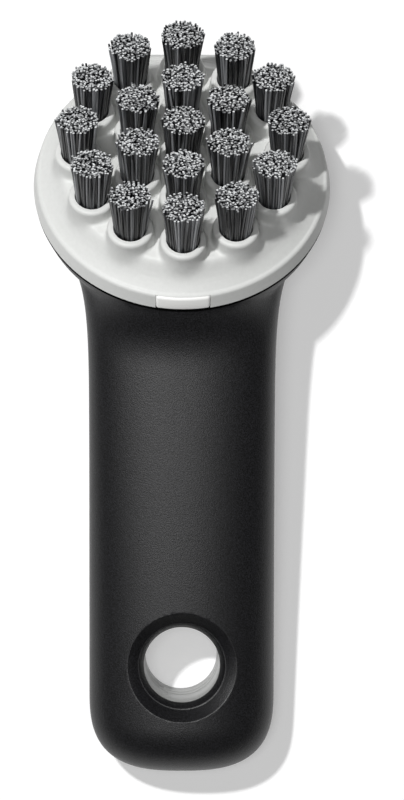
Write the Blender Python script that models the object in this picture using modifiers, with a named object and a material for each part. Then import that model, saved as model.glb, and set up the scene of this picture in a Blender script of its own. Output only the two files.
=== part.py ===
"""Cast iron brush, lying on its back with the bristles up.

A rigid core with a dished head and a hang-hole eye is wrapped in a soft black grip.
A light grey bristle plate sits in the grip's cup and carries 19 tufts in raised
sockets, each held by a wire anchor, with a scraper lip at the plate's far edge.

Lengths are in metres. The brush frame has the handle along Y with the head at +Y,
the hang hole's axis at its origin and the handle's underside at Z = 0. The head frame
is bent down from it, with Z = 0 in the plane of the plate's crest.
"""

import math
import random

import bmesh
import bpy
import numpy as np
from mathutils import Matrix, Vector

GAP = 0.0003  # clearance between separate pieces
BURY = 0.001  # how far a joined or cutting solid runs past the face it meets
SAME_POINT = 0.0000001  # points closer than this are one

# Head: where it sits on the handle
RIM_DISTANCE = 0.0925  # hang hole's axis to the foot of the plate's rim, at the neck
RIM_LIFT = 0.0289  # that foot above the handle's underside
HEAD_BEND = math.radians(38.2)  # plate's plane against the handle's

# Bristle plate
PLATE_RADIUS = 0.0381  # foot of the rim
RIM_LEAN = 0.0007  # radius that the rim's side loses on its way up
RIM_ROUNDING = 0.0009  # height of the rounding over the rim's side
RIM_HEIGHT = 0.0045
CREST_WIDTH = 0.0011  # rounded crest inside the rim's side
ANNULUS_WIDTH = 0.0051  # dished slope between the crest and the plateau
ANNULUS_SHAPE = ((0.08, 0.78), (0.45, 0.38), (0.80, 0.12))  # shares of width, height
PLATEAU_ROUNDING = 0.0016
PLATEAU_HEIGHT = 0.006
CEILING_HEIGHT = 0.0006  # underside of the plateau
SKIRT_WALL = 0.0034
SOCKET_BORE = 0.00425
SOCKET_DEPTH = 0.0078
SOCKET_STAND = 0.0044  # socket's mouth above the plateau
SOCKET_WALL = 0.00165
SOCKET_ROUNDING = 0.0009
SOCKET_FLARE = 0.0005  # what the socket gains at its foot
SOCKET_FLARE_HEIGHT = 0.0013
SOCKET_OVERHANG = 0.0013  # outer sockets past the plateau's edge
RING_COUNTS = (1, 6, 12)

# Scraper lip on the plate's far edge
SCRAPER_OVERHANG = 0.0021  # edge outside the foot of the rim
SCRAPER_EDGE_WIDTH = 0.0246
SCRAPER_ROOT_WIDTH = 0.033
SCRAPER_DROP = 0.0027  # top of the edge below the crest plane
SCRAPER_EDGE_THICKNESS = 0.0009
SCRAPER_STEP = 0.0005  # lip's flat top below the crest plane
SCRAPER_BEVEL = 0.0024  # length of the bevel down to the edge
SCRAPER_RELIEF = 0.0002  # lip's underside above the foot of the rim

# Snap tab in the rim, at the neck
TAB_WIDTH = 0.0135
TAB_HEIGHT = 0.0036
TAB_THICKNESS = 0.0014
TAB_PROUD = 0.0002  # tab's face outside the rim's side
TAB_ROUNDING = 0.0006

# Tufts and their anchors
TUFT_RISE = 0.0149  # tips above the sockets' mouths
TIP_SPACE = 0.0023  # between the tips of neighbouring tufts
TIP_SCATTER = 0.0006
STRAND_COUNT = 20
STRAND_SIDES = 3
STRAND_RADIUS = 0.0005
ROOT_MARGIN = 0.00015  # outermost strand inside its plug
ROOT_SINK = 0.0004  # plug's face below the socket's mouth
ANCHOR_INSET = 0.00065  # anchor's ends inside the plug's side
ANCHOR_HEIGHT = 0.0018
ANCHOR_THICKNESS = 0.0005

# Grip: the cup under the plate
CUP_INSET = 0.0002  # cup's edge inside the foot of the rim
CUP_DEPTH = 0.009
CUP_DEPTH_SLOPE = 0.16  # depth lost for each unit of length towards the far edge
CUP_BAND = 0.003  # height of the cup's side before it turns under
CUP_TAPER = 0.0004  # radius lost over that band
CUP_ROUNDNESS = 2.5
SKIN = 0.0026  # soft wall over the core

# Grip: the handle
HANDLE_WIDTH = 0.0475
HANDLE_HEIGHT = 0.0245
END_DISTANCE = 0.0288  # hang hole's axis to the handle's end
END_ROUNDING = 0.021
END_EDGE_ROUNDING = 0.013
END_SQUARENESS = 2.6
END_CROWN = 2.2
TOP_CROWN = 2.2
UNDERSIDE_CROWN = 2.8
ARCH_RISE = 0.0028  # hollow of the underside behind the head
ARCH_DISTANCE = 0.085  # hang hole's axis to the highest point of that hollow
NECK_THINNING = 0.0014  # height lost along the top before the scoop
NECK_FLARE = 0.0012  # gained by each side where the rim's foot crosses the handle
NECK_FLARE_LENGTH = 0.0083  # over which that flare grows by 2.7 times
NECK_FLARE_END = 0.0075  # past the rim's foot, where the sides turn in again
SCOOP_LENGTH = 0.016  # concave run up to the plate's rim
SCOOP_POWER = 2.6
TONGUE_LENGTH = 0.036  # how far the handle runs on under the cup
TONGUE_NARROWING = 0.84  # share of a full closing of the sides at the tongue's end
TONGUE_THICKNESS = 0.0073  # left under the seam at the tongue's end
TONGUE_POWER = 2.2

# Hang hole
HOLE_RADIUS = 0.0098
HOLE_SEAT_WIDTH = 0.0016  # flat ring at the foot of the cone
HOLE_SEAT_THICKNESS = 0.0007
HOLE_CONE_WIDTH = 0.0031
HOLE_CONE_DEPTH = 0.0046
HOLE_SKIN = 0.0017  # soft wall between the hole's mouth and the core
EYE_WALL = 0.0028
EYE_RECESS = 0.0005  # eye's lower end above the handle's underside

GOLDEN_ANGLE = math.pi * (3 - math.sqrt(5))
TURN_STEPS = 48
SOCKET_STEPS = 16
RING_POINTS = 28

# Sizes that follow
RIM_TOP_RADIUS = PLATE_RADIUS - RIM_LEAN
CREST_RADIUS = RIM_TOP_RADIUS - CREST_WIDTH
PLATEAU_RADIUS = CREST_RADIUS - ANNULUS_WIDTH
INNER_SKIRT_RADIUS = PLATE_RADIUS - SKIRT_WALL
SOCKET_RADIUS = SOCKET_BORE + SOCKET_WALL
SOCKET_MOUTH = PLATEAU_HEIGHT + SOCKET_STAND
SOCKET_FLOOR = SOCKET_MOUTH - SOCKET_DEPTH
OUTER_RING_RADIUS = PLATEAU_RADIUS + SOCKET_OVERHANG - SOCKET_RADIUS
RING_RADII = (0.0, OUTER_RING_RADIUS / 2, OUTER_RING_RADIUS)
SCRAPER_REACH = PLATE_RADIUS + SCRAPER_OVERHANG
PLUG_RADIUS = SOCKET_BORE - GAP
ROOT_SPREAD = PLUG_RADIUS - ROOT_MARGIN - STRAND_RADIUS
TIP_SPREAD = (OUTER_RING_RADIUS / 2 - TIP_SPACE) / 2 - STRAND_RADIUS
ANCHOR_LENGTH = 2 * (PLUG_RADIUS - ANCHOR_INSET)
SEAM_HEIGHT = -RIM_HEIGHT - GAP
CUP_RADIUS = PLATE_RADIUS - CUP_INSET
HEAD_DISTANCE = RIM_DISTANCE + PLATE_RADIUS * math.cos(HEAD_BEND) - SEAM_HEIGHT * math.sin(HEAD_BEND)
HEAD_LIFT = RIM_LIFT - PLATE_RADIUS * math.sin(HEAD_BEND) - SEAM_HEIGHT * math.cos(HEAD_BEND)
HOLE_SEAT_RADIUS = HOLE_RADIUS + HOLE_SEAT_WIDTH
HOLE_MOUTH_RADIUS = HOLE_SEAT_RADIUS + HOLE_CONE_WIDTH
SEAT_HEIGHT = HANDLE_HEIGHT - HOLE_CONE_DEPTH
EYE_RADIUS = HOLE_RADIUS + EYE_WALL
EYE_TOP = SEAT_HEIGHT - HOLE_SEAT_THICKNESS - GAP
TONGUE_END = RIM_DISTANCE + TONGUE_LENGTH


def clear_scene():
    for obj in list(bpy.data.objects):
        bpy.data.objects.remove(obj)


def make_collection(name):
    collection = bpy.data.collections.new(name)
    bpy.context.scene.collection.children.link(collection)
    return collection


def make_material(name, colour, roughness, metallic=0.0):
    material = bpy.data.materials.new(name)
    material.use_nodes = True
    shader = material.node_tree.nodes["Principled BSDF"]
    shader.inputs["Base Color"].default_value = (*colour, 1.0)
    shader.inputs["Roughness"].default_value = roughness
    shader.inputs["Metallic"].default_value = metallic
    return material


def make_empty(name, parent=None, location=(0, 0, 0), bend=0.0):
    empty = bpy.data.objects.new(name, None)
    parts.objects.link(empty)
    empty.parent = parent
    empty.location = location
    empty.rotation_euler = (bend, 0, 0)
    bpy.context.view_layer.update()
    return empty


def add_object(name, mesh, frame, collection=None):
    obj = bpy.data.objects.new(name, mesh)
    (collection or parts).objects.link(obj)
    obj.parent = frame
    bpy.context.view_layer.update()
    return obj


def make_cutter(obj):
    """Moves a finished shape out of the parts, so that it only cuts or joins."""
    parts.objects.unlink(obj)
    cutters.objects.link(obj)
    obj.hide_render = True
    obj.display_type = "WIRE"
    return obj


def bake(obj):
    """Turns the evaluated modifiers into the object's own mesh."""
    bpy.context.view_layer.update()
    graph = bpy.context.evaluated_depsgraph_get()
    mesh = bpy.data.meshes.new_from_object(obj.evaluated_get(graph))
    obj.modifiers.clear()
    obj.data = mesh


def tidy(obj):
    """Merges points that lie together and cuts every face into triangles."""
    mesh = bmesh.new()
    mesh.from_mesh(obj.data)
    bmesh.ops.remove_doubles(mesh, verts=mesh.verts, dist=SAME_POINT)
    bmesh.ops.dissolve_degenerate(mesh, edges=mesh.edges, dist=SAME_POINT)
    bmesh.ops.triangulate(mesh, faces=mesh.faces)
    mesh.to_mesh(obj.data)
    mesh.free()


def combine(target, tool, operation, copies_meet=False):
    for obj in (target, tool):
        tidy(obj)
    modifier = target.modifiers.new(operation.title(), "BOOLEAN")
    modifier.operation = operation
    modifier.solver = "EXACT"
    modifier.use_self = copies_meet
    modifier.object = make_cutter(tool)
    bake(target)
    tidy(target)


def finish(obj, material, smooth=True):
    obj.data.materials.clear()
    obj.data.materials.append(material)
    if smooth:
        obj.data.shade_smooth()
        obj.data.set_sharp_from_angle(angle=math.radians(35))


def turned(name, profile, frame, steps=TURN_STEPS, location=(0, 0, 0)):
    """A solid of revolution about Z: the profile runs from the axis at the top, down
    the outer side and back to the axis."""
    mesh = bpy.data.meshes.new(name)
    points = [(r, 0, z) for r, z in profile]
    mesh.from_pydata(points, [(i, i + 1) for i in range(len(points) - 1)], [])
    obj = add_object(name, mesh, frame)
    obj.location = location
    screw = obj.modifiers.new("Turn", "SCREW")
    screw.steps = screw.render_steps = steps
    screw.use_merge_vertices = True
    screw.merge_threshold = 0.00001
    bake(obj)
    return obj


def cylinder(name, radius, low, high, frame, steps=TURN_STEPS, location=(0, 0, 0)):
    profile = [(0, high), (radius, high), (radius, low), (0, low)]
    return turned(name, profile, frame, steps, location)


def arc(centre, radius, start, end, count):
    angles = np.radians(np.linspace(start, end, count))
    return [(centre[0] + radius * math.cos(a), centre[1] + radius * math.sin(a)) for a in angles]


def loft(name, rings, frame):
    """Joins rings of equally many points; the first may be a single point, and the
    last is closed flat."""
    mesh = bmesh.new()
    made = [[mesh.verts.new(point) for point in ring] for ring in rings]
    for ring, after in zip(made, made[1:]):
        count = len(after)
        for i in range(count):
            j = (i + 1) % count
            if len(ring) == 1:
                mesh.faces.new((ring[0], after[i], after[j]))
            else:
                mesh.faces.new((ring[i], after[i], after[j], ring[j]))
    mesh.faces.new(made[-1])
    bmesh.ops.recalc_face_normals(mesh, faces=mesh.faces)
    data = bpy.data.meshes.new(name)
    mesh.to_mesh(data)
    mesh.free()
    return add_object(name, data, frame)


def smooth_step(t):
    t = min(max(t, 0.0), 1.0)
    return t * t * (3 - 2 * t)


def squircle(t, power):
    """Height at t of a rounded quarter that falls from 1 at t = 0 to 0 at t = 1."""
    return (1 - min(max(t, 0.0), 1.0) ** power) ** (1 / power)


def socket_places():
    """Centres of the sockets in the head frame: one, then rings of 6 and 12."""
    places = []
    for radius, count in zip(RING_RADII, RING_COUNTS):
        for i in range(count):
            turn = 2 * math.pi * i / count
            places.append((radius * math.sin(turn), -radius * math.cos(turn)))
    return places


def tab_block(name, grow):
    """The snap tab's body, or with a positive grow the notch it sits in: a block bent
    round the rim at its near side, leaning in as the rim does."""
    past = BURY if grow else 0.0
    outer = PLATE_RADIUS + TAB_PROUD + past
    inner = PLATE_RADIUS + TAB_PROUD - TAB_THICKNESS - grow
    top = TAB_HEIGHT - RIM_HEIGHT + grow
    bottom = -RIM_HEIGHT - past
    half_width = TAB_WIDTH / 2 + grow
    mesh = bmesh.new()
    bmesh.ops.create_cube(mesh, size=1.0)
    bmesh.ops.subdivide_edges(
        mesh,
        edges=[e for e in mesh.edges if abs(e.verts[0].co.x - e.verts[1].co.x) > 0.5],
        cuts=5,
    )
    for vertex in mesh.verts:
        x = 2 * half_width * vertex.co.x
        reach = inner if vertex.co.y > 0 else outer
        z = bottom
        if vertex.co.z > 0:
            z = top
            reach -= RIM_LEAN
        vertex.co = (x, -math.sqrt(reach**2 - x**2), z)
    bmesh.ops.recalc_face_normals(mesh, faces=mesh.faces)
    data = bpy.data.meshes.new(name)
    mesh.to_mesh(data)
    mesh.free()
    return add_object(name, data, head)


def scraper_lip():
    """A wedge across the plate's far edge, cut to a tapering outline in plan."""
    root = INNER_SKIRT_RADIUS + GAP
    section = [
        (root, -SCRAPER_STEP),
        (SCRAPER_REACH - SCRAPER_BEVEL, -SCRAPER_STEP),
        (SCRAPER_REACH, -SCRAPER_DROP),
        (SCRAPER_REACH, -SCRAPER_DROP - SCRAPER_EDGE_THICKNESS),
        (PLATE_RADIUS, -RIM_HEIGHT + SCRAPER_RELIEF),
        (root, -RIM_HEIGHT + SCRAPER_RELIEF),
    ]
    mesh = bmesh.new()
    half = SCRAPER_ROOT_WIDTH / 2
    ends = [[mesh.verts.new((x, y, z)) for y, z in section] for x in (-half, half)]
    for side in ends:
        mesh.faces.new(side)
    for i in range(len(section)):
        j = (i + 1) % len(section)
        mesh.faces.new((ends[0][i], ends[0][j], ends[1][j], ends[1][i]))
    root_y = math.sqrt(PLATE_RADIUS**2 - half**2) - BURY
    edge_half = SCRAPER_EDGE_WIDTH / 2
    for side in (-1, 1):
        along = Vector((side * (edge_half - half), SCRAPER_REACH - root_y, 0))
        bmesh.ops.bisect_plane(
            mesh,
            geom=mesh.verts[:] + mesh.edges[:] + mesh.faces[:],
            plane_co=(side * half, root_y, 0),
            plane_no=(side * along.y, -side * along.x, 0),
            clear_outer=True,
        )
        rim = [e for e in mesh.edges if e.is_boundary]
        bmesh.ops.holes_fill(mesh, edges=rim)
    bmesh.ops.recalc_face_normals(mesh, faces=mesh.faces)
    data = bpy.data.meshes.new("scraper_lip")
    mesh.to_mesh(data)
    mesh.free()
    return add_object("scraper_lip", data, head)


def plate_profile():
    """The plate's turned section: plateau, dished annulus, crest, rim and underside."""
    annulus = [
        (PLATEAU_RADIUS + across * ANNULUS_WIDTH, up * PLATEAU_HEIGHT)
        for across, up in ANNULUS_SHAPE
    ]
    crest = []
    for angle in (90, 40, 0):
        across = CREST_WIDTH * math.cos(math.radians(angle))
        down = RIM_ROUNDING * (1 - math.sin(math.radians(angle)))
        crest.append((CREST_RADIUS + across, -down))
    return [
        (0, PLATEAU_HEIGHT),
        (PLATEAU_RADIUS - PLATEAU_ROUNDING, PLATEAU_HEIGHT),
        (PLATEAU_RADIUS - PLATEAU_ROUNDING / 4, 0.93 * PLATEAU_HEIGHT),
        *annulus,
        *crest,
        (PLATE_RADIUS, -RIM_HEIGHT),
        (INNER_SKIRT_RADIUS, -RIM_HEIGHT),
        (INNER_SKIRT_RADIUS, CEILING_HEIGHT),
        (0, CEILING_HEIGHT),
    ]


def socket_profile():
    """A raised socket with a rounded mouth, standing on the plateau."""
    centre = (SOCKET_RADIUS - SOCKET_ROUNDING, SOCKET_MOUTH - SOCKET_ROUNDING)
    buried = 2 * CEILING_HEIGHT
    return [
        (0, SOCKET_MOUTH),
        *arc(centre, SOCKET_ROUNDING, 90, 0, 3),
        (SOCKET_RADIUS + 0.3 * SOCKET_FLARE, PLATEAU_HEIGHT + SOCKET_FLARE_HEIGHT),
        (SOCKET_RADIUS + SOCKET_FLARE, PLATEAU_HEIGHT - SOCKET_FLARE_HEIGHT / 2),
        (SOCKET_RADIUS + SOCKET_FLARE, buried),
        (0, buried),
    ]


def copies(name, source, places, frame):
    """One mesh holding a copy of the source at each place, all apart."""
    mesh = bmesh.new()
    for x, y in places:
        before = len(mesh.verts)
        mesh.from_mesh(source.data)
        mesh.verts.ensure_lookup_table()
        bmesh.ops.translate(mesh, vec=(x, y, 0), verts=mesh.verts[before:])
    data = bpy.data.meshes.new(name)
    mesh.to_mesh(data)
    mesh.free()
    bpy.data.objects.remove(source)
    return add_object(name, data, frame)


def bristle_plate():
    plate = turned("bristle_plate", plate_profile(), head)
    combine(plate, scraper_lip(), "UNION")
    boss = turned("boss", socket_profile(), head, SOCKET_STEPS)
    combine(plate, copies("bosses", boss, socket_places(), head), "UNION", copies_meet=True)
    bore = cylinder(
        "bore", SOCKET_BORE, SOCKET_FLOOR, SOCKET_MOUTH + BURY, head, SOCKET_STEPS
    )
    combine(plate, copies("bores", bore, socket_places(), head), "DIFFERENCE")
    combine(plate, tab_block("tab_notch", GAP), "DIFFERENCE")
    finish(plate, light_grey)


def snap_tab():
    tab = tab_block("snap_tab", 0.0)
    bevel = tab.modifiers.new("Rounding", "BEVEL")
    bevel.width = TAB_ROUNDING
    bevel.segments = 2
    bevel.limit_method = "ANGLE"
    bevel.angle_limit = math.radians(50)
    bake(tab)
    finish(tab, white)


def strand_places():
    """Strand centres in a tuft of radius 1: a spiral, as seeds lie in a sunflower."""
    for i in range(STRAND_COUNT):
        radius = math.sqrt((i + 0.5) / STRAND_COUNT)
        turn = GOLDEN_ANGLE * (i + 0.5)
        yield radius * math.cos(turn), radius * math.sin(turn)


def tuft_mesh():
    """A root plug with the strands fused to its face, spreading towards uneven tips,
    and a slot underneath for the anchor."""
    face = SOCKET_MOUTH - ROOT_SINK
    low = SOCKET_FLOOR + GAP
    root = cylinder("tuft", PLUG_RADIUS, low, face, head, SOCKET_STEPS)
    scatter = random.Random(19)
    strands = bmesh.new()
    for x, y in strand_places():
        tip = SOCKET_MOUTH + TUFT_RISE + scatter.uniform(-TIP_SCATTER, TIP_SCATTER)
        made = bmesh.ops.create_cone(
            strands,
            segments=STRAND_SIDES,
            cap_ends=True,
            radius1=STRAND_RADIUS,
            radius2=STRAND_RADIUS,
            depth=1.0,
        )
        turn = Matrix.Rotation(math.atan2(y, x), 3, "Z")
        for vertex in made["verts"]:
            around = turn @ Vector((vertex.co.x, vertex.co.y, 0))
            at_tip = vertex.co.z > 0
            spread = TIP_SPREAD if at_tip else ROOT_SPREAD
            z = tip if at_tip else face - BURY / 2
            vertex.co = Vector((x * spread, y * spread, z)) + around
    data = bpy.data.meshes.new("strands")
    strands.to_mesh(data)
    strands.free()
    combine(root, add_object("strands", data, head), "UNION")
    slot = bmesh.new()
    bmesh.ops.create_cube(slot, size=1.0)
    for vertex in slot.verts:
        vertex.co.x *= 3 * PLUG_RADIUS
        vertex.co.y *= ANCHOR_THICKNESS + 2 * GAP
        vertex.co.z = low + (ANCHOR_HEIGHT + GAP if vertex.co.z > 0 else -BURY)
    data = bpy.data.meshes.new("anchor_slot")
    slot.to_mesh(data)
    slot.free()
    combine(root, add_object("anchor_slot", data, head), "DIFFERENCE")
    mesh = root.data
    bpy.data.objects.remove(root)
    return mesh


def anchor_mesh():
    """A flat wire anchor across the foot of a tuft."""
    anchor = bmesh.new()
    bmesh.ops.create_cube(anchor, size=1.0)
    for vertex in anchor.verts:
        vertex.co.x *= ANCHOR_LENGTH
        vertex.co.y *= ANCHOR_THICKNESS
        vertex.co.z = SOCKET_FLOOR + GAP + (ANCHOR_HEIGHT if vertex.co.z > 0 else 0)
    data = bpy.data.meshes.new("anchor")
    anchor.to_mesh(data)
    anchor.free()
    return data


def tufts_and_anchors():
    tuft_data = tuft_mesh()
    anchor_data = anchor_mesh()
    labels = ["centre"]
    for ring, count in zip(("inner", "outer"), RING_COUNTS[1:]):
        labels += [f"{ring}_{i + 1:02d}" for i in range(count)]
    for i, (label, (x, y)) in enumerate(zip(labels, socket_places())):
        for name, data, material in (
            (f"tuft_{label}", tuft_data, nylon),
            (f"anchor_{label}", anchor_data, wire),
        ):
            obj = add_object(name, data, head)
            obj.location = (x, y, 0)
            obj.rotation_euler = (0, 0, GOLDEN_ANGLE * i)
            finish(obj, material, smooth=False)


def cup(name, inset, top):
    """The cup's body: a flat-topped bowl, shallower towards the far edge, or the same
    drawn in by an inset."""
    radius = CUP_RADIUS - inset
    profile = [(0, top), (radius, top)]
    for angle in (0, 12, 28, 45, 62, 78, 90):
        drop = math.sin(math.radians(angle))
        reach = (1 - drop**CUP_ROUNDNESS) ** (1 / CUP_ROUNDNESS)
        below = CUP_BAND + (CUP_DEPTH - CUP_BAND) * drop
        profile.append(((radius - CUP_TAPER) * reach, SEAM_HEIGHT - below))
    obj = turned(name, profile, head)
    for vertex in obj.data.vertices:
        below = SEAM_HEIGHT - vertex.co.z
        if below > 0:
            scale = 1 - CUP_DEPTH_SLOPE * vertex.co.y / CUP_DEPTH
            vertex.co.z = SEAM_HEIGHT - below * scale + inset * below / CUP_DEPTH
    return obj


def seam_line(y):
    """Height of the seam under the plate's rim in the brush frame, at x = 0."""
    return RIM_LIFT - (y - RIM_DISTANCE) * math.tan(HEAD_BEND)


def head_point(x, y, z):
    turn = Matrix.Rotation(-HEAD_BEND, 3, "X")
    return turn @ Vector((x, y, z)) + Vector((0, HEAD_DISTANCE, HEAD_LIFT))


def handle_half_width(y):
    """Half of the handle's width, flaring towards the head and then closing under it."""
    past = y - RIM_DISTANCE
    flare = NECK_FLARE * math.exp(min(past, NECK_FLARE_END) / NECK_FLARE_LENGTH)
    closing = (past - NECK_FLARE_END) / (TONGUE_LENGTH - NECK_FLARE_END)
    return (HANDLE_WIDTH / 2 + flare) * squircle(TONGUE_NARROWING * closing, TONGUE_POWER)


def handle_underside(y):
    hollow = ARCH_RISE * smooth_step(y / ARCH_DISTANCE)
    fall = max(y - ARCH_DISTANCE, 0.0) / (TONGUE_END - ARCH_DISTANCE)
    drop = ARCH_RISE + TONGUE_THICKNESS - seam_line(TONGUE_END)
    return hollow - drop * fall**TONGUE_POWER


def handle_top(y):
    return HANDLE_HEIGHT - NECK_THINNING * min(max(y / RIM_DISTANCE, 0.0), 1.0)


def handle_ring(y, inset):
    """One ring across the handle: a squarish oval, lifted where the scoop meets the rim."""
    end = inset - END_DISTANCE
    cap_start = END_ROUNDING - END_DISTANCE
    narrow = squircle((cap_start - y) / (cap_start - end), END_SQUARENESS)
    thin = squircle(1 - (y - end) / END_EDGE_ROUNDING, END_CROWN)
    width = (handle_half_width(y) - inset) * narrow
    bottom = handle_underside(y) + inset
    top = handle_top(y) - inset
    middle = (top + bottom) / 2
    if thin == 0.0:
        return [(0, y, middle)]
    ring = []
    for i in range(RING_POINTS):
        angle = 2 * math.pi * i / RING_POINTS
        crown = TOP_CROWN if math.sin(angle) >= 0 else UNDERSIDE_CROWN
        across = abs(math.cos(angle)) ** (2 / crown)
        up = abs(math.sin(angle)) ** (2 / crown)
        x = math.copysign(width * across, math.cos(angle))
        z = middle + math.copysign((top - middle) * thin * up, math.sin(angle))
        if math.sin(angle) > 0:
            z = scooped(x, y, z, up, inset)
        ring.append((x, y, z))
    return ring


def handle_rings(inset):
    """Rings across the handle, from its end to the tongue that fades under the cup."""
    end = inset - END_DISTANCE
    cap_start = END_ROUNDING - END_DISTANCE
    scoop_start = RIM_DISTANCE - SCOOP_LENGTH
    flare_end = RIM_DISTANCE + NECK_FLARE_END
    stations = []
    for angle in (90, 77, 61, 43, 26, 11):
        share = math.sin(math.radians(angle)) ** (2 / END_SQUARENESS)
        stations.append(cap_start - share * (cap_start - end))
    stations += list(np.linspace(cap_start, scoop_start, 6))
    stations += list(np.linspace(scoop_start, flare_end, 10))[1:]
    stations += list(np.linspace(flare_end, TONGUE_END, 5))[1:]
    return [handle_ring(y, inset) for y in stations]


def scooped(x, y, crown_z, up, inset):
    """Raises the handle's face in a concave sweep that meets the plate's round rim."""
    side = min(abs(x), 0.9 * PLATE_RADIUS)
    rim = head_point(0, -math.sqrt(PLATE_RADIUS**2 - side**2), SEAM_HEIGHT)
    distance = rim.y - y
    reach_up = smooth_step((up - 0.45) / 0.45)
    if distance >= 0:
        rise = (rim.z - GAP - inset - crown_z) * reach_up
        near = max(1 - distance / SCOOP_LENGTH, 0.0)
        return crown_z + max(rise, 0.0) * near**SCOOP_POWER
    buried = seam_line(y) - inset + 0.6 * BURY * smooth_step(-distance / (4 * BURY)) - GAP
    return crown_z + (buried - crown_z) * reach_up


def core_body(name, inset, top, plug_radius, plug_top, eye_radius, eye_low, eye_high):
    """The core's outer form; with the clearances left out it cuts the grip's cavity."""
    body = loft(name, handle_rings(inset), brush)
    eye = cylinder("eye", eye_radius, eye_low, HANDLE_HEIGHT, brush)
    combine(body, eye, "UNION")
    guard_radius = HOLE_MOUTH_RADIUS + HOLE_SKIN + (inset - SKIN)
    guard = cylinder("guard", guard_radius, eye_high, HANDLE_HEIGHT + BURY, brush)
    combine(body, guard, "DIFFERENCE")
    combine(body, cup("cup_inner", inset, top + BURY), "UNION")
    shelf = cylinder("shelf", 2 * PLATE_RADIUS, top, 2 * PLATE_RADIUS, head)
    combine(body, shelf, "DIFFERENCE")
    plug_low = SEAM_HEIGHT - 2 * BURY
    combine(body, cylinder("plug", plug_radius, plug_low, plug_top, head), "UNION")
    return body


def handle_core():
    core = core_body(
        "handle_core",
        inset=SKIN + GAP,
        top=SEAM_HEIGHT - GAP,
        plug_radius=INNER_SKIRT_RADIUS - GAP,
        plug_top=CEILING_HEIGHT - GAP,
        eye_radius=EYE_RADIUS,
        eye_low=EYE_RECESS,
        eye_high=EYE_TOP,
    )
    bore = cylinder("core_bore", HOLE_RADIUS, -BURY, HANDLE_HEIGHT, brush)
    combine(core, bore, "DIFFERENCE")
    finish(core, light_grey)


def grip():
    body = loft("grip", handle_rings(0.0), brush)
    combine(body, cup("cup_outer", 0.0, SEAM_HEIGHT + BURY), "UNION")
    seat = cylinder("seat", PLATE_RADIUS + GAP, SEAM_HEIGHT, PLATE_RADIUS, head)
    combine(body, seat, "DIFFERENCE")
    cavity = core_body(
        "cavity",
        inset=SKIN,
        top=SEAM_HEIGHT + BURY,
        plug_radius=INNER_SKIRT_RADIUS,
        plug_top=CEILING_HEIGHT,
        eye_radius=EYE_RADIUS + GAP,
        eye_low=-BURY,
        eye_high=EYE_TOP + GAP,
    )
    combine(body, cavity, "DIFFERENCE")
    cone_rate = (HOLE_MOUTH_RADIUS - HOLE_SEAT_RADIUS) / HOLE_CONE_DEPTH
    above = HANDLE_HEIGHT + 2 * BURY
    hole = turned(
        "hang_hole",
        [
            (0, above),
            (HOLE_MOUTH_RADIUS + 2 * BURY * cone_rate, above),
            (HOLE_SEAT_RADIUS, SEAT_HEIGHT),
            (HOLE_RADIUS, SEAT_HEIGHT),
            (HOLE_RADIUS, -BURY),
            (0, -BURY),
        ],
        brush,
    )
    combine(body, hole, "DIFFERENCE")
    finish(body, black)


def corners():
    """Every mesh corner of the parts, in world coordinates."""
    found = []
    for obj in parts.objects:
        if obj.type == "MESH":
            found += [obj.matrix_world @ vertex.co for vertex in obj.data.vertices]
    return np.array(found)


def lay_down():
    """Tips the brush until the cup's far edge and the handle's end both touch the
    ground, and brings the middle of its footprint to the origin."""
    for _ in range(6):
        points = corners()
        middle = (points[:, 1].min() + points[:, 1].max()) / 2
        ends = []
        for side in (points[:, 1] < middle, points[:, 1] >= middle):
            ends.append(min(points[side], key=lambda point: point[2]))
        rise = ends[1][2] - ends[0][2]
        brush.rotation_euler.x -= rise / (ends[1][1] - ends[0][1])
        bpy.context.view_layer.update()
    points = corners()
    brush.location.y -= (points[:, 1].min() + points[:, 1].max()) / 2
    brush.location.z -= points[:, 2].min()
    bpy.context.view_layer.update()


clear_scene()
parts = make_collection("cast_iron_brush")
cutters = make_collection("cutters")

black = make_material("soft black grip", (0.012, 0.012, 0.013), 0.55)
light_grey = make_material("light grey plastic", (0.58, 0.58, 0.56), 0.4)
white = make_material("white plastic", (0.85, 0.85, 0.84), 0.3)
nylon = make_material("dark grey nylon", (0.09, 0.09, 0.09), 0.5)
wire = make_material("anchor wire", (0.75, 0.62, 0.35), 0.35, 1.0)

brush = make_empty("brush_frame")
head = make_empty(
    "head_frame", brush, (0, HEAD_DISTANCE, HEAD_LIFT), -HEAD_BEND
)

grip()
handle_core()
bristle_plate()
snap_tab()
tufts_and_anchors()
lay_down()
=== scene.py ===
# Cast iron brush, lying on its back on a pale floor with the bristles up.
# Lengths are in metres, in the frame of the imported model.

import math

import bmesh
import bpy
from mathutils import Matrix, Vector
from mathutils.bvhtree import BVHTree


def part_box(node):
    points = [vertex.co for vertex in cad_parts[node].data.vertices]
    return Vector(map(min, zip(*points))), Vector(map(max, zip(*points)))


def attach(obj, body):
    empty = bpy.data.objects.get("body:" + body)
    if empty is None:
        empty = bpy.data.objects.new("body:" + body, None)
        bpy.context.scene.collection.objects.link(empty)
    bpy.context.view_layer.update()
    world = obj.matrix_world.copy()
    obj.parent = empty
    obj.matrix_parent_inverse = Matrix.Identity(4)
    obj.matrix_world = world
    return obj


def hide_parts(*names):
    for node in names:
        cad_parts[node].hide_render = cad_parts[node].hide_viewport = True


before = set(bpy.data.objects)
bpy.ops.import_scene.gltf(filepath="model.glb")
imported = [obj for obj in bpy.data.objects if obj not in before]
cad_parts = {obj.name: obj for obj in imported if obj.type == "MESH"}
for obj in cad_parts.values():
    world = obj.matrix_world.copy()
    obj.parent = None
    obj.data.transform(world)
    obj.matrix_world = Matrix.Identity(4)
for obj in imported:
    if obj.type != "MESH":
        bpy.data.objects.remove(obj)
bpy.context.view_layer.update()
print("frame loaded with", len(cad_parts), "nodes")

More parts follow.
